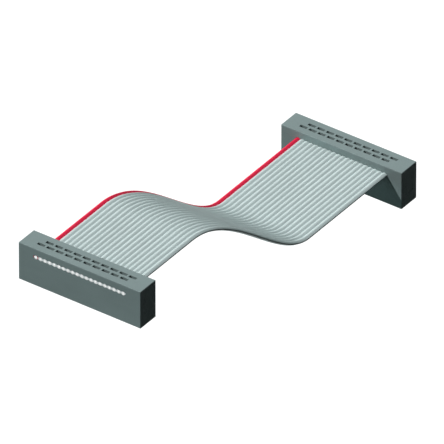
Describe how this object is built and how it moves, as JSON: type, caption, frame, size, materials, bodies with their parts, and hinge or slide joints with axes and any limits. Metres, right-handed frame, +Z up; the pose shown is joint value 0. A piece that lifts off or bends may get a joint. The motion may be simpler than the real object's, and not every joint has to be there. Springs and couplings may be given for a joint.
{
  "type": "flat ribbon cable",
  "caption": "Short flat ribbon cable with a red edge wire and an insulation-displacement socket clamped on each end, held in an S-bend between two heights.",
  "frame": {"origin": "middle of the lower socket's mating face, where the pin header enters", "axes": "+Z up, away from the board; +Y along the cable from the upper socket to the lower one; +X across the ribbon, from the red wire 1 towards wire 20"},
  "size_m": [0.0338, 0.1078, 0.0355],
  "materials": {
    "ribbon_grey": "satin grey PVC",
    "wire_red": "satin red PVC",
    "housing": "moulded grey-green thermoplastic, fine matte",
    "contact_metal": "plated copper alloy, bright"
  },
  "bodies": {
    "root": {"ribbon": "ribbon_grey", "red_edge_wire": "wire_red", "upper_body": "housing", "upper_cover": "housing", "lower_body": "housing", "lower_cover": "housing", "upper_contact_01": "contact_metal", "upper_contact_02": "contact_metal", "upper_contact_03": "contact_metal", "upper_contact_04": "contact_metal", "upper_contact_05": "contact_metal", "upper_contact_06": "contact_metal", "upper_contact_07": "contact_metal", "upper_contact_08": "contact_metal", "upper_contact_09": "contact_metal", "upper_contact_10": "contact_metal", "upper_contact_11": "contact_metal", "upper_contact_12": "contact_metal", "upper_contact_13": "contact_metal", "upper_contact_14": "contact_metal", "upper_contact_15": "contact_metal", "upper_contact_16": "contact_metal", "upper_contact_17": "contact_metal", "upper_contact_18": "contact_metal", "upper_contact_19": "contact_metal", "upper_contact_20": "contact_metal", "lower_contact_01": "contact_metal", "lower_contact_02": "contact_metal", "lower_contact_03": "contact_metal", "lower_contact_04": "contact_metal", "lower_contact_05": "contact_metal", "lower_contact_06": "contact_metal", "lower_contact_07": "contact_metal", "lower_contact_08": "contact_metal", "lower_contact_09": "contact_metal", "lower_contact_10": "contact_metal", "lower_contact_11": "contact_metal", "lower_contact_12": "contact_metal", "lower_contact_13": "contact_metal", "lower_contact_14": "contact_metal", "lower_contact_15": "contact_metal", "lower_contact_16": "contact_metal", "lower_contact_17": "contact_metal", "lower_contact_18": "contact_metal", "lower_contact_19": "contact_metal", "lower_contact_20": "contact_metal"}
  },
  "joints": []
}
